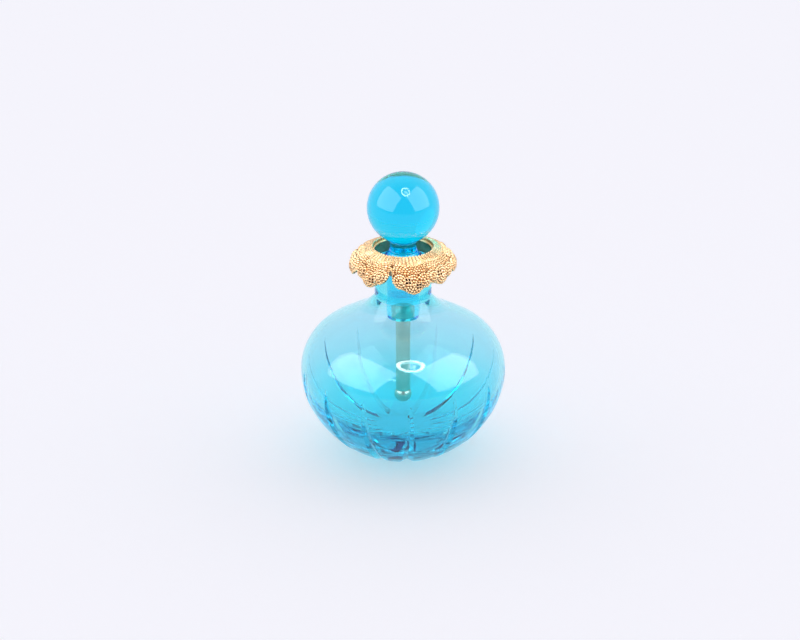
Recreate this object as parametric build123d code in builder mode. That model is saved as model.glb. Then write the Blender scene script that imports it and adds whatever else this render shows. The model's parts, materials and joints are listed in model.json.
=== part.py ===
"""Scent bottle with a ball stopper, a gilt dauber and a filigree collar.

Units are millimetres. +Z is up, and the origin is the centre of the foot, on the surface
that the bottle stands on. The front of the bottle faces -Y.
"""

import os
from math import asin, atan2, cos, degrees, hypot, radians, sin, sqrt, tan

from build123d import *

# ---- Driving dimensions -------------------------------------------------------------

# Glass bottle. Its outline is a run of arcs: foot, flank, shoulder and root of the neck.
BODY_RADIUS = 40.0
EQUATOR_HEIGHT = 33.7
FOOT_ARC_RADIUS = 39.3
FLANK_ARC_RADIUS = 32.8
FLANK_ARC_ANGLE = 24.7
SHOULDER_ARC_RADIUS = 20.3
SHOULDER_ARC_ANGLE = 60.0
SHOULDER_SLOPE_RADIUS = 18.5
NECK_RADIUS = 11.0
NECK_BASE_HEIGHT = 64.4
LIP_HEIGHT = 79.2
WALL_THICKNESS = 2.0
FLOOR_HEIGHT = 10.0
BORE_TOP_RADIUS = 7.05
BORE_FOOT_RADIUS = 6.2
BORE_FLARE_LENGTH = 2.8

# Vertical V grooves between the lobes of the glass. Each follows an arc in its own upright
# plane, which leaves the glass near the equator and sinks in towards the foot.
GROOVE_COUNT = 14
GROOVE_FRONT_ANGLE = 4.0
GROOVE_HALF_ANGLE = 68.0
GROOVE_WIDTH_BEYOND = 1.0
GROOVE_TOP = (39.75, 36.8)
GROOVE_MIDDLE_DEPTH = 0.7
GROOVE_FOOT_DEPTH = 1.35

# Stopper
BALL_RADIUS = 13.9
BALL_HEIGHT = 100.5
STEM_RADIUS = 5.05
STEM_FOOT_HEIGHT = 82.9
FLARE_HEIGHT = 80.7
STEM_BEAD_RADIUS = 0.35
STEM_BEAD_OFFSET = 0.45
GROUND_CLEARANCE = 0.05
PLUG_END_HEIGHT = 55.5
PLUG_END_CHAMFER = 0.8

# Dauber
ROD_RADIUS = 2.8
ROD_SOCKET_DEPTH = 7.0
TIP_RADIUS = 3.4
TIP_HEIGHT = 21.9

# Collar
BAND_CLEARANCE = 0.06
BAND_THICKNESS = 0.5
BAND_FOOT_HEIGHT = 76.6
BAND_TOP_HEIGHT = 83.0
RIM_WIRE_RADIUS = 0.4
GALLERY_RADIUS = 15.2
GALLERY_THICKNESS = 0.55
GALLERY_RIB_COUNT = 48
GALLERY_RIB_RADIUS = 0.28
PETAL_COUNT = 8
PETAL_HALF_ANGLE = 20.2
PETAL_THICKNESS = 0.65
PETAL_OUTER_RADIUS = 20.1
SIDE_LOBE_RADIUS = 2.9
SIDE_LOBE_OFFSET = 4.2
SIDE_LOBE_HEIGHT = 79.5
MIDDLE_LOBE_RADIUS = 3.6
MIDDLE_LOBE_HEIGHT = 77.7
PIERCING_RADIUS = 0.75
GRAIN_RADIUS = 0.48
GRAIN_CIRCLE = 0.88
ARC_WIRE_RADIUS = 0.3

# The petals are bent and set by hand: where each one points, anticlockwise from the front,
# and how far it hangs below the average
PETAL_ANGLES = (9.5, 51.0, 95.0, 141.0, 187.0, 229.0, 273.0, 319.0)
PETAL_DROOP = (0.5, -0.4, 0.2, -0.3, 0.4, -0.1, -0.5, 0.1)

# ---- Derived dimensions -------------------------------------------------------------

FRONT = -90.0
stem_top_height = BALL_HEIGHT - sqrt(BALL_RADIUS**2 - STEM_RADIUS**2)
rod_foot_height = TIP_HEIGHT + sqrt(TIP_RADIUS**2 - ROD_RADIUS**2)
rod_top_height = PLUG_END_HEIGHT + ROD_SOCKET_DEPTH
band_inner_radius = NECK_RADIUS + BAND_CLEARANCE
band_outer_radius = band_inner_radius + BAND_THICKNESS


def on_arc(centre, radius, angle):
    """A point on a circle in the upright plane, with the angle in degrees above outwards."""
    return (
        centre[0] + radius * cos(radians(angle)),
        centre[1] + radius * sin(radians(angle)),
    )


# Outline of the glass, from the foot up. Each arc starts where the last one ends, and they
# share a tangent there.
flank_centre = (BODY_RADIUS - FLANK_ARC_RADIUS, EQUATOR_HEIGHT)
flank_foot = on_arc(flank_centre, FLANK_ARC_RADIUS, -FLANK_ARC_ANGLE)
foot_centre = on_arc(flank_foot, -FOOT_ARC_RADIUS, -FLANK_ARC_ANGLE)
foot_radius = foot_centre[0] + sqrt(FOOT_ARC_RADIUS**2 - foot_centre[1] ** 2)
foot_angle = -degrees(asin(foot_centre[1] / FOOT_ARC_RADIUS))
shoulder_centre = (BODY_RADIUS - SHOULDER_ARC_RADIUS, EQUATOR_HEIGHT)
shoulder_top = on_arc(shoulder_centre, SHOULDER_ARC_RADIUS, SHOULDER_ARC_ANGLE)
shoulder_slope = tan(radians(90 - SHOULDER_ARC_ANGLE))
slope_top = (
    SHOULDER_SLOPE_RADIUS,
    shoulder_top[1] + (shoulder_top[0] - SHOULDER_SLOPE_RADIUS) * shoulder_slope,
)

# Outline of the hollow: it runs beside the outer outline above the equator, and rounds off
# to a flat floor below it.
inner_radius = BODY_RADIUS - WALL_THICKNESS
inner_arc_radius = SHOULDER_ARC_RADIUS - WALL_THICKNESS
inner_shoulder = on_arc(shoulder_centre, inner_arc_radius, SHOULDER_ARC_ANGLE)
bore_foot_height = inner_shoulder[1] + (inner_shoulder[0] - BORE_FOOT_RADIUS) * shoulder_slope
bowl_radius = EQUATOR_HEIGHT - FLOOR_HEIGHT
bowl_centre = (inner_radius - bowl_radius, EQUATOR_HEIGHT)
bore_slope = (BORE_TOP_RADIUS - BORE_FOOT_RADIUS) / (LIP_HEIGHT - bore_foot_height)

# The bore runs into the hollow through a round flare, which is tangent to both.
bore_length = hypot(BORE_TOP_RADIUS - BORE_FOOT_RADIUS, LIP_HEIGHT - bore_foot_height)
bore_direction = (
    (BORE_TOP_RADIUS - BORE_FOOT_RADIUS) / bore_length,
    (LIP_HEIGHT - bore_foot_height) / bore_length,
)
flare_start = (
    BORE_FOOT_RADIUS + BORE_FLARE_LENGTH * bore_direction[0],
    bore_foot_height + BORE_FLARE_LENGTH * bore_direction[1],
)
flare_end = (
    BORE_FOOT_RADIUS + BORE_FLARE_LENGTH * cos(radians(90 - SHOULDER_ARC_ANGLE)),
    bore_foot_height - BORE_FLARE_LENGTH * sin(radians(90 - SHOULDER_ARC_ANGLE)),
)

# The glass is one piece, but it is kept as two nodes that meet face to face, the body and
# the neck with its root, so that each has simple collision and the mouth stays open.
split_height = slope_top[1]
inner_split_radius = inner_shoulder[0] - (split_height - inner_shoulder[1]) / shoulder_slope


def finish(builder, label):
    """Labels a finished sub-part and writes its STEP file."""
    builder.part.label = label
    export_step(builder.part, f"parts/{label}.step")


def meridian(angle):
    """The plane through the Z axis with its x direction outwards at an angle in degrees."""
    return Plane(
        origin=(0, 0, 0),
        x_dir=(cos(radians(angle)), sin(radians(angle)), 0),
        z_dir=(sin(radians(angle)), -cos(radians(angle)), 0),
    )


def facing(angle):
    """The upright plane through the origin that faces outwards at an angle in degrees."""
    return Plane(
        origin=(0, 0, 0),
        x_dir=(-sin(radians(angle)), cos(radians(angle)), 0),
        z_dir=(cos(radians(angle)), sin(radians(angle)), 0),
    )


def plug_radius(height):
    """Radius of the ground plug, which follows the taper of the bore."""
    bore = BORE_TOP_RADIUS + bore_slope * (height - LIP_HEIGHT)
    return bore - GROUND_CLEARANCE


os.makedirs("parts", exist_ok=True)

# ---- Bottle -------------------------------------------------------------------------


def circle_through(first, second, third):
    """Centre and radius of the circle through three points."""
    (ax, ay), (bx, by), (cx, cy) = first, second, third
    d = 2 * (ax * (by - cy) + bx * (cy - ay) + cx * (ay - by))
    squares = [x * x + y * y for x, y in (first, second, third)]
    x = (squares[0] * (by - cy) + squares[1] * (cy - ay) + squares[2] * (ay - by)) / d
    y = (squares[0] * (cx - bx) + squares[1] * (ax - cx) + squares[2] * (bx - ax)) / d
    return (x, y), sqrt((ax - x) ** 2 + (ay - y) ** 2)


groove_middle = on_arc(flank_centre, FLANK_ARC_RADIUS - GROOVE_MIDDLE_DEPTH, -FLANK_ARC_ANGLE)
groove_foot = on_arc(foot_centre, FOOT_ARC_RADIUS - GROOVE_FOOT_DEPTH, foot_angle)
groove_centre, groove_radius = circle_through(GROOVE_TOP, groove_middle, groove_foot)
groove_rim = groove_radius + GROOVE_FOOT_DEPTH + GROOVE_WIDTH_BEYOND
groove_half_width = (groove_rim - groove_radius) * tan(radians(GROOVE_HALF_ANGLE))

# The cutter is a ring of V section that starts above the equator and ends below the foot.
groove_start = degrees(atan2(GROOVE_TOP[1] - groove_centre[1], GROOVE_TOP[0] - groove_centre[0])) + 12
groove_end = degrees(atan2(groove_foot[1] - groove_centre[1], groove_foot[0] - groove_centre[0])) - 15
groove_axis_point = (groove_centre[0], 0, groove_centre[1])
groove_section = Plane(
    origin=groove_axis_point,
    x_dir=(cos(radians(groove_start)), 0, sin(radians(groove_start))),
    z_dir=(-sin(radians(groove_start)), 0, cos(radians(groove_start))),
)

with BuildPart() as groove:
    with BuildSketch(groove_section):
        with BuildLine():
            Polyline(
                (groove_radius, 0),
                (groove_rim, groove_half_width),
                (groove_rim, -groove_half_width),
                close=True,
            )
        make_face()
    revolve(axis=Axis(groove_axis_point, (0, 1, 0)), revolution_arc=groove_start - groove_end)

# The seams of the revolved glass lie in the middle of a lobe, clear of every groove.
lobe_angle = FRONT + GROOVE_FRONT_ANGLE + 180.0 / GROOVE_COUNT

with BuildPart() as bottle_body:
    with BuildSketch(meridian(lobe_angle)):
        with BuildLine():
            Line((0, 0), (foot_radius, 0))
            ThreePointArc(
                (foot_radius, 0),
                on_arc(foot_centre, FOOT_ARC_RADIUS, (foot_angle - FLANK_ARC_ANGLE) / 2),
                flank_foot,
            )
            ThreePointArc(
                flank_foot,
                on_arc(flank_centre, FLANK_ARC_RADIUS, -FLANK_ARC_ANGLE / 2),
                (BODY_RADIUS, EQUATOR_HEIGHT),
            )
            ThreePointArc(
                (BODY_RADIUS, EQUATOR_HEIGHT),
                on_arc(shoulder_centre, SHOULDER_ARC_RADIUS, SHOULDER_ARC_ANGLE / 2),
                shoulder_top,
            )
            Line(shoulder_top, slope_top)
            Line(slope_top, (inner_split_radius, split_height))
            Line((inner_split_radius, split_height), inner_shoulder)
            ThreePointArc(
                inner_shoulder,
                on_arc(shoulder_centre, inner_arc_radius, SHOULDER_ARC_ANGLE / 2),
                (inner_radius, EQUATOR_HEIGHT),
            )
            ThreePointArc(
                (inner_radius, EQUATOR_HEIGHT),
                on_arc(bowl_centre, bowl_radius, -45),
                (bowl_centre[0], FLOOR_HEIGHT),
            )
            Line((bowl_centre[0], FLOOR_HEIGHT), (0, FLOOR_HEIGHT))
            Line((0, FLOOR_HEIGHT), (0, 0))
        make_face()
    revolve(axis=Axis.Z)
    with PolarLocations(0, GROOVE_COUNT, start_angle=FRONT + GROOVE_FRONT_ANGLE):
        add(groove.part, mode=Mode.SUBTRACT)

finish(bottle_body, "bottle_body")

with BuildPart() as bottle_neck:
    with BuildSketch(meridian(lobe_angle)):
        with BuildLine():
            TangentArc(
                slope_top,
                (NECK_RADIUS, NECK_BASE_HEIGHT),
                tangent=(-cos(radians(90 - SHOULDER_ARC_ANGLE)), sin(radians(90 - SHOULDER_ARC_ANGLE))),
            )
            Line((NECK_RADIUS, NECK_BASE_HEIGHT), (NECK_RADIUS, LIP_HEIGHT))
            Line((NECK_RADIUS, LIP_HEIGHT), (BORE_TOP_RADIUS, LIP_HEIGHT))
            Line((BORE_TOP_RADIUS, LIP_HEIGHT), flare_start)
            TangentArc(flare_start, flare_end, tangent=(-bore_direction[0], -bore_direction[1]))
            Line(flare_end, (inner_split_radius, split_height))
            Line((inner_split_radius, split_height), slope_top)
        make_face()
    revolve(axis=Axis.Z)

finish(bottle_neck, "bottle_neck")

# ---- Stopper ------------------------------------------------------------------------

with BuildPart() as stopper_ball:
    with BuildSketch(Plane.XZ):
        with BuildLine():
            Line((0, stem_top_height), (STEM_RADIUS, stem_top_height))
            ThreePointArc(
                (STEM_RADIUS, stem_top_height),
                (BALL_RADIUS, BALL_HEIGHT),
                (0, BALL_HEIGHT + BALL_RADIUS),
            )
            Line((0, BALL_HEIGHT + BALL_RADIUS), (0, stem_top_height))
        make_face()
    revolve(axis=Axis.Z)

finish(stopper_ball, "stopper_ball")

bead_heights = (STEM_FOOT_HEIGHT + STEM_BEAD_OFFSET, stem_top_height - STEM_BEAD_OFFSET)

with BuildPart() as stopper_stem:
    with BuildSketch(Plane.XZ):
        with BuildLine():
            Line((0, rod_top_height), (0, stem_top_height))
            Line((0, stem_top_height), (STEM_RADIUS, stem_top_height))
            Line((STEM_RADIUS, stem_top_height), (STEM_RADIUS, STEM_FOOT_HEIGHT))
            Line((STEM_RADIUS, STEM_FOOT_HEIGHT), (plug_radius(FLARE_HEIGHT), FLARE_HEIGHT))
            Line(
                (plug_radius(FLARE_HEIGHT), FLARE_HEIGHT),
                (plug_radius(PLUG_END_HEIGHT), PLUG_END_HEIGHT),
            )
            Line((plug_radius(PLUG_END_HEIGHT), PLUG_END_HEIGHT), (ROD_RADIUS, PLUG_END_HEIGHT))
            Line((ROD_RADIUS, PLUG_END_HEIGHT), (ROD_RADIUS, rod_top_height))
            Line((ROD_RADIUS, rod_top_height), (0, rod_top_height))
        make_face()
    revolve(axis=Axis.Z)
    with Locations(*[(0, 0, height) for height in bead_heights]):
        Torus(STEM_RADIUS, STEM_BEAD_RADIUS)
    chamfer(
        stopper_stem.edges().filter_by(GeomType.CIRCLE).group_by(Axis.Z)[0].sort_by(SortBy.RADIUS)[-1],
        length=PLUG_END_CHAMFER,
    )

finish(stopper_stem, "stopper_stem")

# ---- Dauber -------------------------------------------------------------------------

with BuildPart() as dauber_rod:
    with BuildSketch(Plane.XY.offset(rod_foot_height)):
        Circle(ROD_RADIUS)
    extrude(amount=rod_top_height - rod_foot_height)

finish(dauber_rod, "dauber_rod")

with BuildPart() as dauber_tip:
    with Locations((0, 0, TIP_HEIGHT)):
        Sphere(TIP_RADIUS)
    split(bisect_by=Plane.XY.offset(rod_foot_height), keep=Keep.BOTTOM)

finish(dauber_tip, "dauber_tip")

# ---- Collar: band, rim wire and pleated gallery ---------------------------------------

with BuildPart() as collar_band:
    with BuildSketch(Plane.XY.offset(BAND_FOOT_HEIGHT)):
        Circle(band_outer_radius)
        Circle(band_inner_radius, mode=Mode.SUBTRACT)
    extrude(amount=BAND_TOP_HEIGHT - BAND_FOOT_HEIGHT)

finish(collar_band, "collar_band")

with BuildPart() as rim_wire:
    with Locations((0, 0, BAND_TOP_HEIGHT + RIM_WIRE_RADIUS)):
        Torus((band_inner_radius + band_outer_radius) / 2, RIM_WIRE_RADIUS)

finish(rim_wire, "rim_wire")

# The gallery rises a little from the band and starts to turn down at its outer edge.
gallery_points = [
    (band_outer_radius, BAND_TOP_HEIGHT - 1.1),
    (band_outer_radius + 0.9, BAND_TOP_HEIGHT + 0.3),
    (GALLERY_RADIUS - 0.8, BAND_TOP_HEIGHT + 0.45),
    (GALLERY_RADIUS, BAND_TOP_HEIGHT + 0.2),
]
gallery_under_points = [(r, z - GALLERY_THICKNESS) for r, z in reversed(gallery_points)]

with BuildPart() as gallery_ring:
    with BuildSketch(Plane.XZ):
        with BuildLine():
            Polyline(*gallery_points, *gallery_under_points, close=True)
        make_face()
    revolve(axis=Axis.Z)

finish(gallery_ring, "gallery_ring")

# Short ribs of wire lie on the top of the gallery, all the way round.
rib_start, rib_end = gallery_points[1], gallery_points[2]
rib_lift = GALLERY_RIB_RADIUS + 0.01

with BuildPart() as rib:
    with BuildSketch(
        Plane(
            origin=(rib_start[0], 0, rib_start[1] + rib_lift),
            z_dir=(rib_end[0] - rib_start[0], 0, rib_end[1] - rib_start[1]),
        )
    ):
        Circle(GALLERY_RIB_RADIUS)
    extrude(amount=rib_end[0] - rib_start[0])

with BuildPart() as gallery_ribs:
    with PolarLocations(0, GALLERY_RIB_COUNT):
        add(rib.part)

finish(gallery_ribs, "gallery_ribs")

# ---- Collar: petals, arc wires and grains ---------------------------------------------


def petal_section(droop):
    """Section of one petal's sheet, outwards and up, from the gallery to below its tip."""
    root_height = BAND_TOP_HEIGHT + 0.2
    return [
        (GALLERY_RADIUS, root_height),
        (PETAL_OUTER_RADIUS - 1.5, root_height - 0.5),
        (PETAL_OUTER_RADIUS + 0.8, 80.6 - droop / 2),
        (PETAL_OUTER_RADIUS - 0.3, 73.6 - droop),
    ]


def sheet_at(outline, height, offset):
    """Radius and height of a point that stands off a petal's sheet by an offset."""
    low, high = 0.0, 1.0
    for _ in range(24):
        middle = (low + high) / 2
        if outline.position_at(middle).Y > height:
            low = middle
        else:
            high = middle
    along = outline.tangent_at(low)
    return outline.position_at(low).X - along.Y * offset, height + along.X * offset


grain_solids = []
wire_solids = []

for index in range(PETAL_COUNT):
    droop = PETAL_DROOP[index]
    angle = FRONT + PETAL_ANGLES[index]
    section = petal_section(droop)
    side_height = SIDE_LOBE_HEIGHT - droop / 2
    middle_height = MIDDLE_LOBE_HEIGHT - droop
    root_half_width = GALLERY_RADIUS * sin(radians(PETAL_HALF_ANGLE))
    edge_half_width = SIDE_LOBE_OFFSET + SIDE_LOBE_RADIUS

    with BuildPart() as petal:
        with BuildSketch(Plane.XZ):
            with BuildLine():
                Bezier(*section)
                Line(section[-1], (section[-1][0] - PETAL_THICKNESS, section[-1][1]))
                Bezier(
                    (section[-1][0] - PETAL_THICKNESS, section[-1][1]),
                    (section[2][0] - PETAL_THICKNESS * 0.9, section[2][1] - PETAL_THICKNESS / 3),
                    (section[1][0] - PETAL_THICKNESS / 3, section[1][1] - PETAL_THICKNESS * 0.9),
                    (section[0][0], section[0][1] - PETAL_THICKNESS),
                )
                Line((section[0][0], section[0][1] - PETAL_THICKNESS), section[0])
            make_face()
        revolve(axis=Axis.Z, revolution_arc=2 * PETAL_HALF_ANGLE)
    sheet = petal.part.rotate(Axis.Z, angle - PETAL_HALF_ANGLE)

    with BuildPart() as petal_shape:
        with BuildSketch(facing(angle)):
            with BuildLine():
                Polyline(
                    (-root_half_width, 86),
                    (root_half_width, 86),
                    (edge_half_width, side_height),
                    (-edge_half_width, side_height),
                    close=True,
                )
            make_face()
            with Locations((-SIDE_LOBE_OFFSET, side_height), (SIDE_LOBE_OFFSET, side_height)):
                Circle(SIDE_LOBE_RADIUS)
            with Locations((0, middle_height)):
                Circle(MIDDLE_LOBE_RADIUS)
            with Locations((-SIDE_LOBE_OFFSET, side_height), (SIDE_LOBE_OFFSET, side_height)):
                Circle(PIERCING_RADIUS, mode=Mode.SUBTRACT)
            with Locations((-1.2, middle_height - 0.3), (1.2, middle_height - 0.3)):
                Circle(PIERCING_RADIUS, mode=Mode.SUBTRACT)
        extrude(amount=PETAL_OUTER_RADIUS + 5)
        add(sheet, mode=Mode.INTERSECT)
    finish(petal_shape, f"petal_{index + 1}")

    outline = Bezier(*section)

    # Grains stand on the sheet round the three lobes.
    edge_places = []
    for side in (-1, 1):
        for turn in (-62, -18, 26):
            edge_places.append(
                (
                    side * (SIDE_LOBE_OFFSET + GRAIN_CIRCLE * SIDE_LOBE_RADIUS * cos(radians(turn))),
                    side_height + GRAIN_CIRCLE * SIDE_LOBE_RADIUS * sin(radians(turn)),
                )
            )
    for turn in (-150, -120, -90, -60, -30):
        edge_places.append(
            (
                GRAIN_CIRCLE * MIDDLE_LOBE_RADIUS * cos(radians(turn)),
                middle_height + GRAIN_CIRCLE * MIDDLE_LOBE_RADIUS * sin(radians(turn)),
            )
        )
    for across, height in edge_places:
        radius, grain_height = sheet_at(outline, height, GRAIN_RADIUS - 0.01)
        depth = sqrt(radius**2 - across**2)
        turned = facing(angle).from_local_coords(Vector(across, grain_height, depth))
        grain_solids.append(Sphere(GRAIN_RADIUS).locate(Location(turned)))

    # One wire arches across the petal, level with the tops of its lobes.
    wire_radius, wire_height = sheet_at(outline, side_height + 1.9, ARC_WIRE_RADIUS + 0.01)
    with BuildPart() as arc_wire:
        with BuildSketch(Plane.XZ):
            with Locations((wire_radius, wire_height)):
                Circle(ARC_WIRE_RADIUS)
        revolve(axis=Axis.Z, revolution_arc=2 * (PETAL_HALF_ANGLE - 4))
    wire_solids.append(arc_wire.part.rotate(Axis.Z, angle - PETAL_HALF_ANGLE + 4))

with BuildPart() as petal_grains:
    for solid in grain_solids:
        add(solid)

finish(petal_grains, "petal_grains")

with BuildPart() as arc_wires:
    for solid in wire_solids:
        add(solid)

finish(arc_wires, "arc_wires")
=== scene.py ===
"""Scent bottle with a ball stopper, a gilt dauber and a gilt filigree collar, in metres."""

import json
import math

import bpy
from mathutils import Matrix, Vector
from mathutils import noise


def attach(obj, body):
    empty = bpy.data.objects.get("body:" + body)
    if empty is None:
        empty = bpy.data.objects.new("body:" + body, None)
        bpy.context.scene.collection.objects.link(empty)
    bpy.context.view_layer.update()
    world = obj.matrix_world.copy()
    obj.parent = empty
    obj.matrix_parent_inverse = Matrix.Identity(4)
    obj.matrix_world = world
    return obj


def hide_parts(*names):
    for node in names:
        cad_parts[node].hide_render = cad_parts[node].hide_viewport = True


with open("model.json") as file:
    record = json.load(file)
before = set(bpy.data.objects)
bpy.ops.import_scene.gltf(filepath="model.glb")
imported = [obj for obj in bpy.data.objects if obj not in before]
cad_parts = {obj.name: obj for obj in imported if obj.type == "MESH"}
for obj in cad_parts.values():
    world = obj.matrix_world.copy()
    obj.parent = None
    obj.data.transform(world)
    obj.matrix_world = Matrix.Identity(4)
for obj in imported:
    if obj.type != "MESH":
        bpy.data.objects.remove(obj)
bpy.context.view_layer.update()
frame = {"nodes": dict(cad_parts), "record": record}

MM = 0.001
TAU = 2 * math.pi
CREASE, GROOVE_CREASE = 30, 14


def tan_deg(angle):
    return math.tan(math.radians(angle))


# ---- Meshes ---------------------------------------------------------------------------


def make_object(name, verts, faces, material, sharp=None):
    """A mesh object from millimetre points, shaded smooth, with creases above an angle."""
    mesh = bpy.data.meshes.new(name)
    mesh.from_pydata([[c * MM for c in v] for v in verts], [], faces)
    mesh.validate()
    for polygon in mesh.polygons:
        polygon.use_smooth = True
    if sharp is not None:
        mesh.set_sharp_from_angle(angle=math.radians(sharp))
    mesh.materials.append(material)
    made = bpy.data.objects.new(name, mesh)
    bpy.context.scene.collection.objects.link(made)
    return made


def arc_points(centre, radius, start, end, steps, skip_first=True):
    """Points of an arc in the upright plane, with angles in degrees above outwards."""
    first = 1 if skip_first else 0
    points = []
    for i in range(first, steps + 1):
        a = math.radians(start + (end - start) * i / steps)
        points.append((centre[0] + radius * math.cos(a), centre[1] + radius * math.sin(a)))
    return points


def line_points(start, end, steps):
    """Points of a straight run, without its first."""
    return [
        (start[0] + (end[0] - start[0]) * i / steps, start[1] + (end[1] - start[1]) * i / steps)
        for i in range(1, steps + 1)
    ]


def closed_faces(rings, columns):
    """Faces between a first point, rings of points in turn, and a last point."""
    faces = []
    for k in range(columns):
        n = (k + 1) % columns
        faces.append((0, 1 + n, 1 + k))
        for j in range(rings - 1):
            a, b = 1 + j * columns, 1 + (j + 1) * columns
            faces.append((a + k, a + n, b + n, b + k))
        last = 1 + (rings - 1) * columns
        faces.append((last + k, last + n, 1 + rings * columns))
    return faces


def lathe(name, profile, segments, material):
    """A closed surface of revolution about Z. The profile starts and ends on the axis."""
    verts = [(0, 0, profile[0][1])]
    rings = profile[1:-1]
    for r, z in rings:
        for k in range(segments):
            a = TAU * k / segments
            verts.append((r * math.cos(a), r * math.sin(a), z))
    verts.append((0, 0, profile[-1][1]))
    return make_object(name, verts, closed_faces(len(rings), segments), material, CREASE)


# ---- Materials ------------------------------------------------------------------------


# Scale of the tarnish, scale of the grain, and height of the grain in metres.
GILT_TEXTURE = (500.0, 3200.0, 0.00003)
DAUBER_TEXTURE = (160.0, 1500.0, 0.000003)


def new_material(name):
    material = bpy.data.materials.new(name)
    material.use_nodes = True
    tree = material.node_tree
    return material, tree, tree.nodes["Principled BSDF"], tree.nodes["Material Output"]


def glass_material(name, absorb_color, absorb_density, wave_scale, wave_height, painted_light_tint=None):
    """Clear coloured glass: the colour comes from its thickness, and its surface is wavy.

    A tint is three colours, from the foot up, and the two heights in mm between which the
    first fades through the second to the third. The tint is painted light: its deeper cyan at
    the foot stands in for floor light passing twice through the thick base.
    """
    material, tree, shader, output = new_material(name)
    shader.inputs["Base Color"].default_value = (1, 1, 1, 1)
    shader.inputs["Roughness"].default_value = 0.0
    shader.inputs["IOR"].default_value = 1.5
    shader.inputs["Transmission Weight"].default_value = 1.0
    absorb = tree.nodes.new("ShaderNodeVolumeAbsorption")
    absorb.inputs["Color"].default_value = (*absorb_color, 1)
    absorb.inputs["Density"].default_value = absorb_density
    tree.links.new(absorb.outputs["Volume"], output.inputs["Volume"])
    coords = tree.nodes.new("ShaderNodeTexCoord")
    waves = tree.nodes.new("ShaderNodeTexNoise")
    waves.inputs["Scale"].default_value = wave_scale
    waves.inputs["Detail"].default_value = 1.5
    tree.links.new(coords.outputs["Object"], waves.inputs["Vector"])
    bump = tree.nodes.new("ShaderNodeBump")
    bump.inputs["Strength"].default_value = 1.0
    bump.inputs["Distance"].default_value = wave_height
    tree.links.new(waves.outputs["Fac"], bump.inputs["Height"])
    tree.links.new(bump.outputs["Normal"], shader.inputs["Normal"])
    # The tint by height is painted light: deeper cyan towards the foot, for the light through the
    # thick base.
    if painted_light_tint:
        colors, low, high = painted_light_tint
        split = tree.nodes.new("ShaderNodeSeparateXYZ")
        tree.links.new(coords.outputs["Object"], split.inputs["Vector"])
        height = tree.nodes.new("ShaderNodeMapRange")
        height.inputs["From Min"].default_value = low * MM
        height.inputs["From Max"].default_value = high * MM
        tree.links.new(split.outputs["Z"], height.inputs["Value"])
        fade = tree.nodes.new("ShaderNodeValToRGB")
        fade.color_ramp.elements[0].color = (*colors[0], 1)
        fade.color_ramp.elements[1].color = (*colors[2], 1)
        middle = fade.color_ramp.elements.new(0.5)
        middle.color = (*colors[1], 1)
        tree.links.new(height.outputs["Result"], fade.inputs["Fac"])
        tree.links.new(fade.outputs["Color"], shader.inputs["Base Color"])
    return material


def metal_material(name, low, high, rough, cloud_scale, grain_scale, grain_height):
    """Metal with slight cloudy tarnish, between two colours and two roughnesses."""
    material, tree, shader, _ = new_material(name)
    shader.inputs["Metallic"].default_value = 1.0
    coords = tree.nodes.new("ShaderNodeTexCoord")
    cloud = tree.nodes.new("ShaderNodeTexNoise")
    cloud.inputs["Scale"].default_value = cloud_scale
    cloud.inputs["Detail"].default_value = 4.0
    tree.links.new(coords.outputs["Object"], cloud.inputs["Vector"])
    ramp = tree.nodes.new("ShaderNodeValToRGB")
    ramp.color_ramp.elements[0].position = 0.32
    ramp.color_ramp.elements[0].color = (*low, 1)
    ramp.color_ramp.elements[1].position = 0.68
    ramp.color_ramp.elements[1].color = (*high, 1)
    tree.links.new(cloud.outputs["Fac"], ramp.inputs["Fac"])
    tree.links.new(ramp.outputs["Color"], shader.inputs["Base Color"])
    spread = tree.nodes.new("ShaderNodeMapRange")
    spread.inputs["To Min"].default_value = rough[0]
    spread.inputs["To Max"].default_value = rough[1]
    tree.links.new(cloud.outputs["Fac"], spread.inputs["Value"])
    tree.links.new(spread.outputs["Result"], shader.inputs["Roughness"])
    fine = tree.nodes.new("ShaderNodeTexNoise")
    fine.inputs["Scale"].default_value = grain_scale
    fine.inputs["Detail"].default_value = 3.0
    tree.links.new(coords.outputs["Object"], fine.inputs["Vector"])
    bump = tree.nodes.new("ShaderNodeBump")
    bump.inputs["Strength"].default_value = 1.0
    bump.inputs["Distance"].default_value = grain_height
    tree.links.new(fine.outputs["Fac"], bump.inputs["Height"])
    tree.links.new(bump.outputs["Normal"], shader.inputs["Normal"])
    return material, tree, shader, ramp


def filigree_material(name):
    """Gilt metal with painted shade: darker in the hollows of its relief and near black in its
    windows, full colour on the tops.
    """
    material, tree, shader, ramp = metal_material(
        name, (0.82, 0.50, 0.25), (0.98, 0.74, 0.46), (0.16, 0.30), *GILT_TEXTURE
    )
    # The relief values paint shade into the colour: near black in the windows, dark brown in the
    # hollows, full colour on the tops.
    relief = tree.nodes.new("ShaderNodeAttribute")
    relief.attribute_name = "relief"
    hollow = tree.nodes.new("ShaderNodeValToRGB")
    hollow.color_ramp.elements[0].position = 0.1
    hollow.color_ramp.elements[0].color = (0.03, 0.012, 0.004, 1)
    hollow.color_ramp.elements[1].position = 0.82
    hollow.color_ramp.elements[1].color = (1, 1, 1, 1)
    painted_shade_stop = hollow.color_ramp.elements.new(0.5)
    painted_shade_stop.color = (0.27, 0.135, 0.055, 1)
    tree.links.new(relief.outputs["Fac"], hollow.inputs["Fac"])
    mix = tree.nodes.new("ShaderNodeMix")
    mix.data_type = "RGBA"
    mix.blend_type = "MULTIPLY"
    mix.inputs["Factor"].default_value = 1.0
    tree.links.new(ramp.outputs["Color"], mix.inputs["A"])
    tree.links.new(hollow.outputs["Color"], mix.inputs["B"])
    tree.links.new(mix.outputs["Result"], shader.inputs["Base Color"])
    return material


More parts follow.
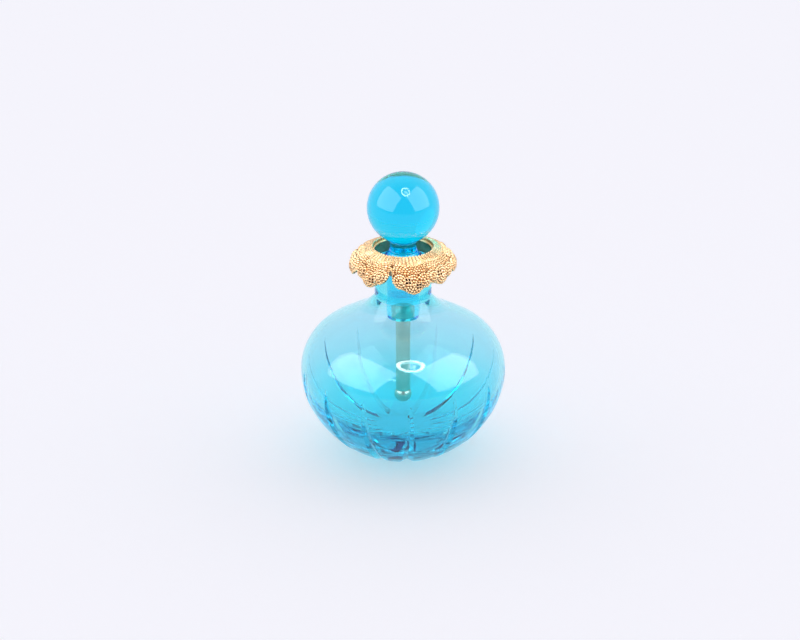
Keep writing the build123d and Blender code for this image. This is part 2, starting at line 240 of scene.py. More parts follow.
bottle_glass = glass_material(
    "bottle_glass",
    absorb_color=(0.0, 0.945, 0.972),
    absorb_density=165.0,
    wave_scale=45.0,
    wave_height=0.00006,
    # Painted light: the foot is tinted deeper cyan to stand in for light passing twice through the
    # thick base.
    painted_light_tint=(((0.14, 0.88, 0.97), (0.66, 0.90, 0.975), (0.98, 0.92, 0.98)), 12.0, 46.0),
)
stopper_glass = glass_material(
    "stopper_glass",
    absorb_color=(0.0, 0.952, 0.998),
    absorb_density=300.0,
    wave_scale=60.0,
    wave_height=0.00002,
)
gilt = metal_material(
    "collar_gilt", (0.86, 0.55, 0.27), (1.0, 0.76, 0.45), (0.22, 0.38), *GILT_TEXTURE
)[0]
filigree = filigree_material("collar_filigree_painted_shade")
# A darker, duller copy of the gilt for the band: painted shade for the shadow that falls on it
# inside the collar.
band_gilt_painted_shade = metal_material(
    "band_gilt_painted_shade", (0.30, 0.26, 0.17), (0.42, 0.36, 0.25), (0.35, 0.5), *GILT_TEXTURE
)[0]
dauber_metal = metal_material(
    "dauber_metal", (0.72, 0.66, 0.54), (0.80, 0.75, 0.62), (0.20, 0.28), *DAUBER_TEXTURE
)[0]

# ---- Bottle glass -----------------------------------------------------------------------

# The outlines repeat the CAD's arcs. All lengths are in millimetres.
BODY_RADIUS, EQUATOR = 40.0, 33.7
FLANK_RADIUS, FLANK_ANGLE = 32.8, 24.7
FOOT_ARC_RADIUS = 39.3
SHOULDER_RADIUS, SHOULDER_ANGLE = 20.3, 60.0
SLOPE_END = 18.5
NECK_RADIUS, NECK_BASE, LIP = 11.0, 64.4, 79.2
WALL, FLOOR = 2.0, 10.0
BORE_TOP, BORE_FOOT = 7.05, 6.2
GROOVES, GROOVE_FIRST, GROOVE_HALF_ANGLE = 14, -86.0, 68.0
GROOVE_MIDDLE_DEPTH, GROOVE_FOOT_DEPTH = 0.7, 1.35
GROOVE_TOP = (39.75, 36.8)
GROOVED_FROM_RADIUS, GROOVED_TO_HEIGHT = 9.0, 38.0
BORE_FLARE_LENGTH = 2.8
LIP_ROUND, BORE_ROUND = 0.7, 0.4


def on_arc(centre, radius, angle):
    """The point of an arc at an angle in degrees above outwards."""
    a = math.radians(angle)
    return (centre[0] + radius * math.cos(a), centre[1] + radius * math.sin(a))


flank_centre = (BODY_RADIUS - FLANK_RADIUS, EQUATOR)
flank_foot = on_arc(flank_centre, FLANK_RADIUS, -FLANK_ANGLE)
foot_centre = on_arc(flank_foot, -FOOT_ARC_RADIUS, -FLANK_ANGLE)
foot_angle = -math.degrees(math.asin(foot_centre[1] / FOOT_ARC_RADIUS))
foot_edge = on_arc(foot_centre, FOOT_ARC_RADIUS, foot_angle)
shoulder_centre = (BODY_RADIUS - SHOULDER_RADIUS, EQUATOR)
shoulder_top = on_arc(shoulder_centre, SHOULDER_RADIUS, SHOULDER_ANGLE)
slope = tan_deg(90 - SHOULDER_ANGLE)
slope_end = (SLOPE_END, shoulder_top[1] + (shoulder_top[0] - SLOPE_END) * slope)
inner_top = on_arc(shoulder_centre, SHOULDER_RADIUS - WALL, SHOULDER_ANGLE)
bore_foot = (BORE_FOOT, inner_top[1] + (inner_top[0] - BORE_FOOT) * slope)
bowl_radius = EQUATOR - FLOOR
bowl_centre = (BODY_RADIUS - WALL - bowl_radius, EQUATOR)


def neck_root():
    """The concave arc from the shoulder's slope up to the neck, then a small round."""
    start_angle = math.radians(180 - (90 - SHOULDER_ANGLE))
    chord = (NECK_RADIUS - slope_end[0], NECK_BASE - slope_end[1])
    length = math.hypot(*chord)
    half_turn = start_angle - math.atan2(chord[1], chord[0])
    radius = length / (2 * math.sin(half_turn))
    points = []
    steps = 14
    for i in range(1, steps + 1):
        turn = 2 * half_turn * i / steps
        forward = radius * math.sin(turn)
        aside = radius * (1 - math.cos(turn))
        points.append(
            (
                slope_end[0] + forward * math.cos(start_angle) + aside * math.sin(start_angle),
                slope_end[1] + forward * math.sin(start_angle) - aside * math.cos(start_angle),
            )
        )
    return points


def round_corner(points, index, size, steps=4):
    """Replaces one corner of a run of points with a small rounded one."""
    before, corner, after = points[index - 1], points[index], points[index + 1]

    def towards(other):
        d = math.hypot(other[0] - corner[0], other[1] - corner[1])
        k = min(size / d, 0.5)
        return (corner[0] + (other[0] - corner[0]) * k, corner[1] + (other[1] - corner[1]) * k)

    a, b = towards(before), towards(after)
    rounded = []
    for i in range(steps + 1):
        t = i / steps
        rounded.append(
            tuple(
                (1 - t) ** 2 * a[c] + 2 * t * (1 - t) * corner[c] + t * t * b[c] for c in (0, 1)
            )
        )
    return points[:index] + rounded + points[index + 1 :]


outer = [(0.0, 0.0)]
outer += line_points(outer[-1], (foot_edge[0], 0.0), 22)
outer += arc_points(foot_centre, FOOT_ARC_RADIUS, foot_angle, -FLANK_ANGLE, 40)
outer += arc_points(flank_centre, FLANK_RADIUS, -FLANK_ANGLE, 0, 26)
outer += arc_points(shoulder_centre, SHOULDER_RADIUS, 0, SHOULDER_ANGLE, 34)
outer += line_points(outer[-1], slope_end, 10)
outer += neck_root()
outer += line_points(outer[-1], (NECK_RADIUS, LIP - LIP_ROUND), 16)
outer += arc_points((NECK_RADIUS - LIP_ROUND, LIP - LIP_ROUND), LIP_ROUND, 0, 90, 5)
outer += line_points(outer[-1], (BORE_TOP + BORE_ROUND, LIP), 3)
outer += arc_points((BORE_TOP + BORE_ROUND, LIP - BORE_ROUND), BORE_ROUND, 90, 180, 3)
outer_rows = len(outer)
flare = round_corner([outer[-1], bore_foot, inner_top], 1, BORE_FLARE_LENGTH, 12)[1:-1]
inner = line_points(outer[-1], flare[0], 14)
inner += flare[1:]
inner += line_points(inner[-1], inner_top, 20)
inner += arc_points(shoulder_centre, SHOULDER_RADIUS - WALL, SHOULDER_ANGLE, 0, 30)
inner += arc_points(bowl_centre, bowl_radius, 0, -90, 44)
inner += line_points(inner[-1], (0.0, FLOOR), 16)


def circle_through(p, q, s):
    """Centre and radius of the circle through three points."""
    (ax, ay), (bx, by), (cx, cy) = p, q, s
    d = 2 * (ax * (by - cy) + bx * (cy - ay) + cx * (ay - by))
    k = [x * x + y * y for x, y in (p, q, s)]
    x = (k[0] * (by - cy) + k[1] * (cy - ay) + k[2] * (ay - by)) / d
    y = (k[0] * (cx - bx) + k[1] * (ax - cx) + k[2] * (bx - ax)) / d
    return (x, y), math.hypot(ax - x, ay - y)


groove_centre, groove_radius = circle_through(
    GROOVE_TOP,
    on_arc(flank_centre, FLANK_RADIUS - GROOVE_MIDDLE_DEPTH, -FLANK_ANGLE),
    on_arc(foot_centre, FOOT_ARC_RADIUS - GROOVE_FOOT_DEPTH, foot_angle),
)
GROOVE_STEPS, LOBE_STEPS = 6, 14
GROOVE_HALF_MIN, GROOVE_HALF_MIN_SHARE = 0.55, 0.06


def groove_half_width(r, z):
    """Half width of the groove where it crosses the outline, closed in on in a few passes."""
    width = 0.0
    for _ in range(6):
        flat = math.sqrt(max(r * r - width * width, 0))
        depth = math.hypot(flat - groove_centre[0], z - groove_centre[1]) - groove_radius
        width = max(depth, 0.0) * tan_deg(GROOVE_HALF_ANGLE)
    return width


def outer_row(r, z, cut):
    """One ring of the outside of the glass, with the V grooves sunk into it."""
    row = []
    width = groove_half_width(r, z) if cut else 0.0
    half = max(width, min(GROOVE_HALF_MIN, r * GROOVE_HALF_MIN_SHARE))
    pitch = TAU / GROOVES
    for g in range(GROOVES):
        middle = math.radians(GROOVE_FIRST) + g * pitch
        edge = math.asin(min(half / r, 0.9))
        for i in range(GROOVE_STEPS):
            t = half * (2 * i / GROOVE_STEPS - 1)
            flat = math.sqrt(r * r - t * t)
            height = z
            if cut:
                dx, dz = flat - groove_centre[0], z - groove_centre[1]
                away = math.hypot(dx, dz)
                reach = groove_radius + abs(t) / tan_deg(GROOVE_HALF_ANGLE)
                if away > reach:
                    flat = groove_centre[0] + dx * reach / away
                    height = groove_centre[1] + dz * reach / away
            row.append(
                (
                    flat * math.cos(middle) - t * math.sin(middle),
                    flat * math.sin(middle) + t * math.cos(middle),
                    height,
                )
            )
        for i in range(LOBE_STEPS):
            a = middle + edge + (pitch - 2 * edge) * i / LOBE_STEPS
            row.append((r * math.cos(a), r * math.sin(a), z))
    return row


def build_bottle():
    """The outside with its grooves, the lip and the hollow, as one closed surface."""
    columns = GROOVES * (GROOVE_STEPS + LOBE_STEPS)
    verts = [(0, 0, outer[0][1])]
    rows = outer[1:] + inner[:-1]
    for index, (r, z) in enumerate(rows):
        cut = index < outer_rows - 1 and r > GROOVED_FROM_RADIUS and z < GROOVED_TO_HEIGHT
        verts += outer_row(r, z, cut)
    verts.append((0, 0, inner[-1][1]))
    faces = closed_faces(len(rows), columns)
    return make_object("bottle_glass_body", verts, faces, bottle_glass, GROOVE_CREASE)


bottle = build_bottle()
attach(bottle, "bottle")
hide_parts("bottle_body", "bottle_neck")

# ---- Stopper --------------------------------------------------------------------------

BALL_RADIUS, BALL_HEIGHT = 13.9, 100.5
STEM_RADIUS, STEM_FOOT, FLARE = 5.05, 82.9, 80.7
GROUND_CLEARANCE, PLUG_END, PLUG_ROUND = 0.05, 55.5, 1.2
STEM_FLARE, STEM_BEAD, STEM_BEAD_INSET = 0.5, 0.35, 0.45
bore_slope = (BORE_TOP - BORE_FOOT) / (LIP - bore_foot[1])
stem_top = BALL_HEIGHT - math.sqrt(BALL_RADIUS**2 - STEM_RADIUS**2)


def plug_radius(z):
    """Radius of the ground plug at a height: the bore's taper less the clearance."""
    return BORE_TOP + bore_slope * (z - LIP) - GROUND_CLEARANCE


profile = [(0.0, PLUG_END)]
profile += line_points(profile[-1], (plug_radius(PLUG_END) - PLUG_ROUND, PLUG_END), 6)
profile += arc_points(
    (plug_radius(PLUG_END) - PLUG_ROUND, PLUG_END + PLUG_ROUND), PLUG_ROUND, -90, 0, 5
)
profile += line_points(profile[-1], (plug_radius(FLARE), FLARE), 20)
profile += line_points(profile[-1], (STEM_RADIUS + STEM_FLARE, STEM_FOOT), 5)
for bead in (STEM_FOOT + STEM_BEAD_INSET, stem_top - STEM_BEAD_INSET):
    profile += arc_points((STEM_RADIUS, bead), STEM_BEAD, -90, 90, 8, skip_first=False)
start = -math.degrees(math.acos(STEM_RADIUS / BALL_RADIUS))
profile += arc_points((0.0, BALL_HEIGHT), BALL_RADIUS, start, 90, 64, skip_first=False)
profile[-1] = (0.0, BALL_HEIGHT + BALL_RADIUS)
stopper = lathe("stopper_glass_piece", profile, 128, stopper_glass)
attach(stopper, "stopper")
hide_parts("stopper_ball", "stopper_stem")

# ---- Dauber ---------------------------------------------------------------------------

ROD_RADIUS, TIP_RADIUS, TIP_HEIGHT = 2.8, 3.4, 21.9
ROD_TOP, ROD_CHAMFER = 62.5, 0.15
rod_foot = TIP_HEIGHT + math.sqrt(TIP_RADIUS**2 - ROD_RADIUS**2)
rod_profile = [(0.0, rod_foot)]
rod_profile += line_points(rod_profile[-1], (ROD_RADIUS - ROD_CHAMFER, rod_foot), 2)
rod_profile += [(ROD_RADIUS, rod_foot + ROD_CHAMFER)]
rod_profile += line_points(rod_profile[-1], (ROD_RADIUS, ROD_TOP - ROD_CHAMFER), 30)
rod_profile += [(ROD_RADIUS - ROD_CHAMFER, ROD_TOP), (0.0, ROD_TOP)]
rod = lathe("dauber_rod_piece", rod_profile, 64, dauber_metal)
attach(rod, "stopper")
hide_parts("dauber_rod")

tip_profile = [(0.0, TIP_HEIGHT - TIP_RADIUS)]
top_angle = math.degrees(math.acos(ROD_RADIUS / TIP_RADIUS))
tip_profile += arc_points((0.0, TIP_HEIGHT), TIP_RADIUS, -90, top_angle, 30)
tip_profile += [(0.0, rod_foot)]
tip = lathe("dauber_tip_piece", tip_profile, 64, dauber_metal)
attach(tip, "stopper")
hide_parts("dauber_tip")

# ---- Collar ---------------------------------------------------------------------------

# Each petal is a curved fan of wire and bead work. It is drawn flat first, by how far a place
# is across it and down it from the rim, then laid on its curved section. Lengths are in mm.
PETAL_ANGLES = (9.5, 51.0, 95.0, 141.0, 187.0, 229.0, 273.0, 319.0)
PETAL_DROOP = (1.4, -0.4, 0.2, -0.3, 0.4, -0.1, -0.5, 0.1)
PETAL_LEAN = (0.06, -0.05, 0.04, -0.04, 0.05, -0.06, 0.03, -0.05)
PETAL_LIFT = (0.0, -0.15, 0.0, -0.15, 0.0, -0.15, 0.0, -0.15)
COLUMNS, ROWS = 190, 116
SECTION_SAMPLES = 240
RIM_HALF_WIDTH, RIM_SPREAD = 4.8, 0.30
HEART = 7.6
HEART_RADIUS = 6.9
FAN_HALF_ANGLE = 112.0
LOBES = ((-4.6, 9.9, 3.0), (0.0, 11.3, 3.9), (4.6, 9.9, 3.0))
LOBE_JITTER = 0.9
WAIST_TOP, WAIST_END, FULL_TURN = 6.0, 11.0, 360.0
LOBE_SWELL, PETAL_SWELL = 1.2, 0.45
PETAL_START = 0.2
RIB_END, RIBS = 3.9, 8
TWIST_PITCH = 0.75
BEAD_PITCH, BEAD_RADIUS = 0.98, 0.47
RELIEF_HEIGHT = 0.5
SHEET_THICKNESS = 0.45
PETAL_LENGTH = 15.35
WINDOWS = ((-1.9, 9.7), (2.1, 11.6))
WINDOW_SIZE, WINDOW_BAR = 0.72, 0.34
WINDOW_FRAME, WINDOW_FRAME_RELIEF = 0.25, 0.55


def bezier(points, t):
    """A place on a cubic curve with four control points."""
    weights = ((1 - t) ** 3, 3 * t * (1 - t) ** 2, 3 * t * t * (1 - t), t**3)
    return tuple(sum(w * q[c] for w, q in zip(weights, points)) for c in (0, 1))


def dome(distance, radius):
    """Height of a half ball at a distance from its centre, as a share of its radius."""
    return math.sqrt(max(0.0, 1 - (distance / radius) ** 2))


def petal_lobes(index):
    """The lobes of one petal, each a little out of place and size, as made by hand."""
    lobes = []
    for number, (across, down, radius) in enumerate(LOBES):
        spot = Vector((index * 3.7, number * 5.3, 0.5))
        lobes.append(
            (
                across + LOBE_JITTER * noise.noise(spot),
                down + LOBE_JITTER * noise.noise(spot + Vector((9.1, 0, 0))),
                radius * (1 + 0.12 * noise.noise(spot + Vector((0, 9.1, 0)))),
            )
        )
    return lobes


def outline_at(turn, lobes):
    """Where a ray from the petal's heart leaves its lobes, as a distance."""
    ray = (math.sin(turn), math.cos(turn))
    reach = HEART_RADIUS
    for across, down, radius in lobes:
        centre = (across, down - HEART)
        along = centre[0] * ray[0] + centre[1] * ray[1]
        aside = abs(centre[0] * ray[1] - centre[1] * ray[0])
        if aside < radius:
            reach = max(reach, along + math.sqrt(radius * radius - aside * aside))
    return reach


def nearest_lobe(across, down, lobes):
    """The lobe that a place on the flat petal lies deepest in, and its distance there."""
    best = None
    for lobe in lobes:
        distance = math.hypot(across - lobe[0], down - lobe[1])
        if best is None or lobe[2] - distance > best[0][2] - best[1]:
            best = (lobe, distance)
    return best


def relief_at(across, down, seed, lobes):
    """Height of the wire and bead work, from -1 in the windows and 0 in the hollows to 1."""
    for window_across, window_down in WINDOWS:
        aside, along = abs(across - window_across), abs(down - window_down)
        inside = WINDOW_BAR / 2 + WINDOW_SIZE
        if WINDOW_BAR / 2 < aside < inside and WINDOW_BAR / 2 < along < inside:
            return -1.0
        if aside < inside + WINDOW_FRAME and along < inside + WINDOW_FRAME:
            return WINDOW_FRAME_RELIEF
    if down < RIB_END:
        half = RIM_HALF_WIDTH + RIM_SPREAD * down
        rib = (across / half + 1) / 2 * RIBS
        across_rib = 2 * (rib % 1.0) - 1
        twist = 0.82 + 0.18 * math.cos(TAU * (down / TWIST_PITCH + 0.5 * across_rib))
        return dome(across_rib, 1.0) ** 0.8 * twist
    lobe, distance = nearest_lobe(across, down, lobes)
    if distance > lobe[2] + 0.2:
        ring = HEART_RADIUS - math.hypot(across, down - HEART)
        angle = math.atan2(across, down - HEART)
        centre = (0.0, HEART)
        radius = HEART_RADIUS
    else:
        ring = lobe[2] - distance
        angle = math.atan2(across - lobe[0], down - lobe[1])
        centre = lobe
        radius = lobe[2]
    row = math.floor(ring / BEAD_PITCH)
    row_radius = max(0.05, radius - (row + 0.5) * BEAD_PITCH)
    beads = max(3, round(TAU * row_radius / BEAD_PITCH))
    step = angle / TAU * beads + 0.5 * (row % 2)
    aside = (step - math.floor(step) - 0.5) * TAU * row_radius / beads
    along = (ring / BEAD_PITCH - row - 0.5) * BEAD_PITCH
    bead_key = Vector((math.floor(step) * 1.7 + centre[0], row * 2.3, seed * 3.1))
    size = BEAD_RADIUS * (1 + 0.16 * noise.noise(bead_key))
    return dome(math.hypot(aside, along), size)


class Petal:
    """The curved sheet of one petal."""

    def __init__(self, index, droop, lean, lift):
        before = PETAL_ANGLES[index] - PETAL_ANGLES[index - 1]
        after = PETAL_ANGLES[(index + 1) % len(PETAL_ANGLES)] - PETAL_ANGLES[index]
        usual = FULL_TURN / len(PETAL_ANGLES)
        self.index = index
        self.angle = math.radians(PETAL_ANGLES[index] - 90)
        self.lean = lean
        self.reaches = ((before % FULL_TURN) / usual, (after % FULL_TURN) / usual)
        self.lobes = petal_lobes(index)
        control = [
            (11.65, 84.3 + lift),
            (14.8, 83.0 + lift),
            (20.0, 81.9 - droop / 2),
            (18.7, 73.7 - droop),
        ]
        self.points = [bezier(control, i / SECTION_SAMPLES) for i in range(SECTION_SAMPLES + 1)]
        self.lengths = [0.0]
        for p, q in zip(self.points, self.points[1:]):
            self.lengths.append(self.lengths[-1] + math.hypot(q[0] - p[0], q[1] - p[1]))
        self.total = self.lengths[-1]

    def section(self, down):
        """Radius, height and outward normal of the sheet at a distance down from the rim."""
        down = min(max(down, 0.0), self.total)
        low, high = 0, SECTION_SAMPLES
        while high - low > 1:
            middle = (low + high) // 2
            if self.lengths[middle] <= down:
                low = middle
            else:
                high = middle
        p, q = self.points[low], self.points[low + 1]
        span = self.lengths[low + 1] - self.lengths[low]
        t = (down - self.lengths[low]) / span
        run = ((q[0] - p[0]) / span, (q[1] - p[1]) / span)
        return p[0] + (q[0] - p[0]) * t, p[1] + (q[1] - p[1]) * t, -run[1], run[0]

    def flat(self, u, v):
        """Place on the flat petal: u runs along its edge, and v from the rim out to it."""
        turn = math.radians(FAN_HALF_ANGLE) * u
        reach = outline_at(turn, self.lobes)
        edge = (reach * math.sin(turn), HEART + reach * math.cos(turn))
        start = (RIM_HALF_WIDTH * u, 0.0)
        return start[0] + (edge[0] - start[0]) * v, start[1] + (edge[1] - start[1]) * v

    def swell(self, across, down, u, v):
        """How far the sheet bulges: a little all over, and as a shell over each lobe."""
        lobe, distance = nearest_lobe(across, down, self.lobes)
        whole = PETAL_SWELL * (1 - u * u) * math.sin(math.pi * min(v, 1.0)) ** 0.8
        bend = noise.noise(Vector((across * 0.22 + self.index * 7.1, down * 0.25, 1.7)))
        return whole + LOBE_SWELL * dome(distance, lobe[2]) + 0.35 * bend

    def place(self, u, v, rise, relief=0.0):
        """A point on the bent sheet, standing off it by a rise and a share of relief."""
        across, down = self.flat(u, v)
        lift = self.swell(across, down, u, v) + rise + RELIEF_HEIGHT * relief
        r, z, nr, nz = self.section(down * self.total / PETAL_LENGTH)
        r, z = r + nr * lift, z + nz * lift
        waist = min(max((WAIST_END - down) / (WAIST_END - WAIST_TOP), 0.0), 1.0)
        reach = self.reaches[0] if across < 0 else self.reaches[1]
        a = self.angle + (across * (1 + (reach - 1) * waist) + self.lean * down) / r
        return (r * math.cos(a), r * math.sin(a), z)


def finish_filigree(made, shade_mask_heights, thickness, *replaced):
    """Gives an open sheet of the collar its relief values, thickness and body, and hides the CAD
    nodes it replaces.
    """
    # The relief values are the mask of the painted shade in the filigree material: darker in
    # hollows and windows.
    attribute = made.data.attributes.new("relief", "FLOAT", "POINT")
    attribute.data.foreach_set("value", shade_mask_heights)
    solidify = made.modifiers.new("thickness", "SOLIDIFY")
    solidify.thickness = thickness * MM
    solidify.offset = -1.0
    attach(made, "collar")
    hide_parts(*replaced)


def build_petal(petal):
    """One petal as a grid of points, wide and fine enough to hold its beads."""
    verts, faces, shade_mask_heights = [], [], []
    for j in range(ROWS + 1):
        v = PETAL_START + (1 - PETAL_START) * j / ROWS
        for i in range(COLUMNS + 1):
            u = 2 * i / COLUMNS - 1
            across, down = petal.flat(u, v)
            relief = relief_at(across, down, petal.index, petal.lobes)
            verts.append(petal.place(u, v, 0.0, relief))
            shade_mask_heights.append((relief + 1) / 2)
    for j in range(ROWS):
        for i in range(COLUMNS):
            a = j * (COLUMNS + 1) + i
            faces.append((a, a + COLUMNS + 1, a + COLUMNS + 2, a + 1))
    node = f"petal_{petal.index + 1}"
    made = make_object(f"{node}_filigree", verts, faces, filigree)
    finish_filigree(made, shade_mask_heights, SHEET_THICKNESS, node)


PLEATS, PLEAT_COLUMNS, PLEAT_HEIGHT = 58, 12, 0.62
GALLERY_ROWS, GALLERY_REACH = 56, 4.1
SKIRT_ROWS, SKIRT_FOOT, SKIRT_LEAN = 8, 82.7, -0.35
GALLERY_THICKNESS = 0.8 * SHEET_THICKNESS


def build_gallery():
    """The pleated ring of twisted wires that joins the petals to the band."""
    sheet = Petal(0, 0.0, 0.0, 0.35)
    rim_r, rim_z, _, _ = sheet.section(0.0)
    rows = []
    for j in range(SKIRT_ROWS):
        z = SKIRT_FOOT + (rim_z - SKIRT_FOOT) * j / SKIRT_ROWS
        rows.append((rim_r, z, SKIRT_LEAN, 0.0))
    rows += [sheet.section(GALLERY_REACH * j / GALLERY_ROWS) for j in range(GALLERY_ROWS + 1)]
    columns = PLEATS * PLEAT_COLUMNS
    verts, faces, shade_mask_heights = [], [], []
    for j, (r, z, nr, nz) in enumerate(rows):
        down = (j - SKIRT_ROWS) * GALLERY_REACH / GALLERY_ROWS
        end = min(1.0, (len(rows) - 1 - j) / 6)
        for k in range(columns):
            across_rib = 2 * (k % PLEAT_COLUMNS) / PLEAT_COLUMNS - 1
            pleat = k // PLEAT_COLUMNS
            twist = 0.66 + 0.34 * math.cos(TAU * (down / TWIST_PITCH + 0.35 * across_rib))
            relief = dome(across_rib, 1.0) ** 0.8 * twist * (0.4 + 0.6 * end)
            wobble = 0.12 * noise.noise(Vector((pleat * 1.3, down * 0.6, 4.2)))
            lift = (PLEAT_HEIGHT * relief + wobble) * (1.0 if down >= 0 else 0.5)
            a = TAU * k / columns
            radius = r + nr * lift
            verts.append((radius * math.cos(a), radius * math.sin(a), z + nz * lift))
            shade_mask_heights.append((relief + 1) / 2)
    for j in range(len(rows) - 1):
        for k in range(columns):
            n = (k + 1) % columns
            faces.append(
                (j * columns + k, (j + 1) * columns + k, (j + 1) * columns + n, j * columns + n)
            )
    made = make_object("gallery_pleats", verts, faces, filigree)
    finish_filigree(made, shade_mask_heights, GALLERY_THICKNESS, "gallery_ring", "gallery_ribs")


def sphere_points(rings, segments):
    """Unit sphere: its points and faces."""
    points = [(0, 0, -1)]
    for j in range(1, rings):
        a = math.pi * j / rings
        for k in range(segments):
            b = TAU * k / segments
            points.append((math.sin(a) * math.cos(b), math.sin(a) * math.sin(b), -math.cos(a)))
    points.append((0, 0, 1))
    return points, closed_faces(rings - 1, segments)


def build_beads(name, centres, replaced):
    """One piece of many small spheres, each (x, y, z, radius)."""
    unit, unit_faces = sphere_points(8, 12)
    verts, faces = [], []
    for x, y, z, radius in centres:
        base = len(verts)
        verts += [(x + radius * a, y + radius * b, z + radius * c) for a, b, c in unit]
        faces += [tuple(base + f for f in face) for face in unit_faces]
    made = make_object(name, verts, faces, gilt)
    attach(made, "collar")
    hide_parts(replaced)


GRANULES, GRANULE_RADIUS = 34, 0.36
CHAIN_BEADS, CHAIN_BEAD_RADIUS = 15, 0.36
CHAIN_PLACE, CHAIN_SPAN, CHAIN_RISE = 0.30, 0.92, 0.2
GRANULE_PLACE, GRANULE_SPAN, GRANULE_RISE = 0.97, 0.95, 0.1

granules, chain = [], []
for index, values in enumerate(zip(PETAL_DROOP, PETAL_LEAN, PETAL_LIFT)):
    petal = Petal(index, *values)
    build_petal(petal)
    for i in range(GRANULES):
        u = 2 * GRANULE_SPAN * i / (GRANULES - 1) - GRANULE_SPAN
        size = GRANULE_RADIUS * (1 + 0.2 * math.sin(i * 2.4 + index))
        granules.append((*petal.place(u, GRANULE_PLACE, GRANULE_RISE), size))
    for i in range(CHAIN_BEADS):
        u = 2 * CHAIN_SPAN * i / (CHAIN_BEADS - 1) - CHAIN_SPAN
        chain.append((*petal.place(u, CHAIN_PLACE, CHAIN_RISE), CHAIN_BEAD_RADIUS))
build_gallery()
build_beads("petal_edge_granules", granules, "petal_grains")
build_beads("petal_bead_chains", chain, "arc_wires")

# The CAD nodes that still show on the collar, the band and the rim wire, take the gilt; the band
# takes a darker copy with painted shade.
for name, node in frame["nodes"].items():
    slot = next(s["material_slot"] for s in frame["record"]["subparts"] if s["node"] == name)
    if slot == "collar_gilt":
        node.data.materials.clear()
        node.data.materials.append(band_gilt_painted_shade if name == "collar_band" else gilt)

# ---- Floor, light and camera ------------------------------------------------------------

# The floor lies a hair below the foot, so that light passes from the glass to it cleanly.
FLOOR_GAP = 0.0001
FLOOR_GLOW = 0.36

floor_material, _, shader, _ = new_material("floor")
shader.inputs["Base Color"].default_value = (0.80, 0.795, 0.83, 1)
shader.inputs["Roughness"].default_value = 0.9
shader.inputs["Specular IOR Level"].default_value = 0.2
shader.inputs["Emission Color"].default_value = (0.955, 0.946, 1.0, 1)
shader.inputs["Emission Strength"].default_value = FLOOR_GLOW
bpy.ops.mesh.primitive_plane_add(size=8.0)
floor = bpy.context.object
floor.name = "floor"
floor.location.z = -FLOOR_GAP
floor.data.materials.append(floor_material)

# A white backdrop is bright behind and beside the bottle, and the room before it is dimmer.
BACKDROP_BRIGHTNESS, ROOM_BRIGHTNESS = 0.95, 0.5
BACKDROP_DIRECTION = (0.0, 0.9, -0.5)
ROOM_END, BACKDROP_START = -0.75, -0.05
world = bpy.data.worlds.new("world")
bpy.context.scene.world = world
world.use_nodes = True
world_tree = world.node_tree
background = world_tree.nodes["Background"]
background.inputs["Color"].default_value = (0.955, 0.955, 1.0, 1)
direction = world_tree.nodes.new("ShaderNodeTexCoord")
towards_back = world_tree.nodes.new("ShaderNodeVectorMath")
towards_back.operation = "DOT_PRODUCT"
towards_back.inputs[1].default_value = BACKDROP_DIRECTION
world_tree.links.new(direction.outputs["Generated"], towards_back.inputs[0])
fade = world_tree.nodes.new("ShaderNodeMapRange")
fade.interpolation_type = "SMOOTHSTEP"
fade.inputs["From Min"].default_value = ROOM_END
fade.inputs["From Max"].default_value = BACKDROP_START
fade.inputs["To Min"].default_value = ROOM_BRIGHTNESS
fade.inputs["To Max"].default_value = BACKDROP_BRIGHTNESS
world_tree.links.new(towards_back.outputs["Value"], fade.inputs["Value"])
world_tree.links.new(fade.outputs["Result"], background.inputs["Strength"])


LAMP_TARGET = (0, 0, 0.06)
SOFTBOX_RADIANCE = 2.4


def face_target(thing, place):
    """Puts a lamp at a place, turned towards the bottle."""
    thing.location = place
    thing.rotation_mode = "QUATERNION"
    turned = (Vector(LAMP_TARGET) - Vector(place)).to_track_quat("-Z", "Y")
    thing.rotation_quaternion = turned
    thing.visible_diffuse = False


def area_light(name, place, size):
    """A softbox that shows in the glass and the gilt, and leaves the floor as it is."""
    data = bpy.data.lights.new(name, "AREA")
    data.shape = "RECTANGLE"
    data.size, data.size_y = size
    data.energy = SOFTBOX_RADIANCE * math.pi * size[0] * size[1]
    light = bpy.data.objects.new(name, data)
    face_target(light, place)
    bpy.context.scene.collection.objects.link(light)


area_light("softbox_left", (-0.42, -0.22, 0.42), (0.78, 0.66))
area_light("softbox_right", (0.44, -0.20, 0.42), (0.70, 0.66))

LAMP_STRETCH, LAMP_STEPS = 1.2, 64


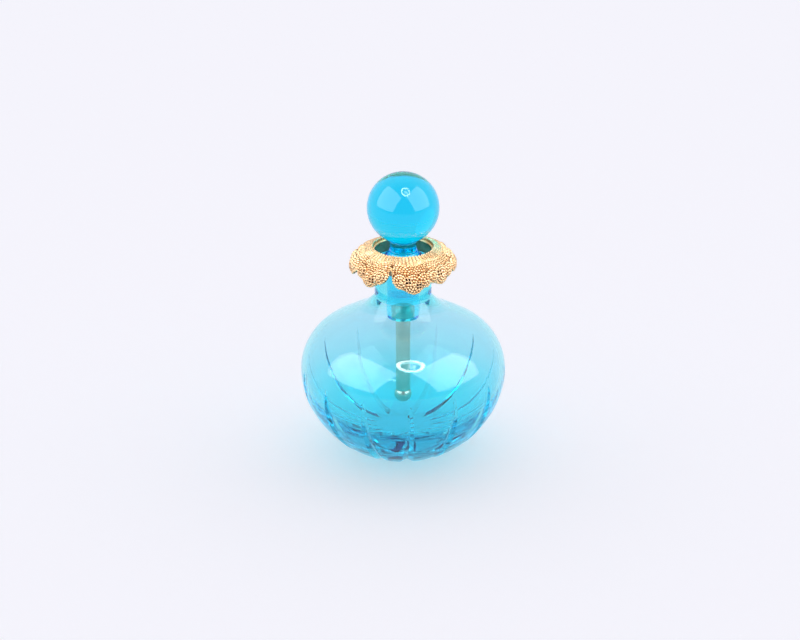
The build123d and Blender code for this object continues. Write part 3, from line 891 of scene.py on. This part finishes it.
def ring_lamp(name, place, outer_radius, inner_radius, strength):
    """A round lamp above the bottle, as a glowing flat ring with its radii in millimetres."""
    material, _, shader, _ = new_material(name + "_glow")
    shader.inputs["Base Color"].default_value = (0, 0, 0, 1)
    shader.inputs["Emission Color"].default_value = (1, 1, 1, 1)
    shader.inputs["Emission Strength"].default_value = strength
    verts = []
    for radius in (outer_radius, inner_radius):
        for k in range(LAMP_STEPS):
            a = TAU * k / LAMP_STEPS
            verts.append((radius * math.cos(a), LAMP_STRETCH * radius * math.sin(a), 0))
    faces = []
    for k in range(LAMP_STEPS):
        n = (k + 1) % LAMP_STEPS
        faces.append((k, n, LAMP_STEPS + n, LAMP_STEPS + k))
    lamp = make_object(name, verts, faces, material)
    face_target(lamp, place)


ring_lamp("ring_lamp", (0.10, -0.26, 0.9), outer_radius=185.0, inner_radius=135.0, strength=16.0)
ring_lamp("ring_lamp_core", (0.11, -0.27, 0.9), outer_radius=58.0, inner_radius=26.0, strength=7.0)

EYE_ELEVATION, EYE_DISTANCE, EYE_BASE = 25.0, 0.9, 0.04
EYE_TARGET = (-0.0012, 0.0, 0.0536)
LENS, SENSOR_WIDTH = 103.5, 36.0

camera_data = bpy.data.cameras.new("camera")
camera_data.lens = LENS
camera_data.sensor_width = SENSOR_WIDTH
camera = bpy.data.objects.new("camera", camera_data)
elevation = math.radians(EYE_ELEVATION)
camera.location = (
    0.0,
    -EYE_DISTANCE * math.cos(elevation),
    EYE_BASE + EYE_DISTANCE * math.sin(elevation),
)
camera.rotation_mode = "QUATERNION"
aim = Vector(EYE_TARGET) - camera.location
camera.rotation_quaternion = aim.to_track_quat("-Z", "Y")
bpy.context.scene.collection.objects.link(camera)
bpy.context.scene.camera = camera

scene = bpy.context.scene
scene.view_settings.view_transform = "Standard"
# The glass needs many bounces, or its thick base goes black.
scene.cycles.max_bounces = 40
scene.cycles.transmission_bounces = 40
scene.cycles.glossy_bounces = 32
scene.cycles.diffuse_bounces = 4
scene.cycles.volume_bounces = 0
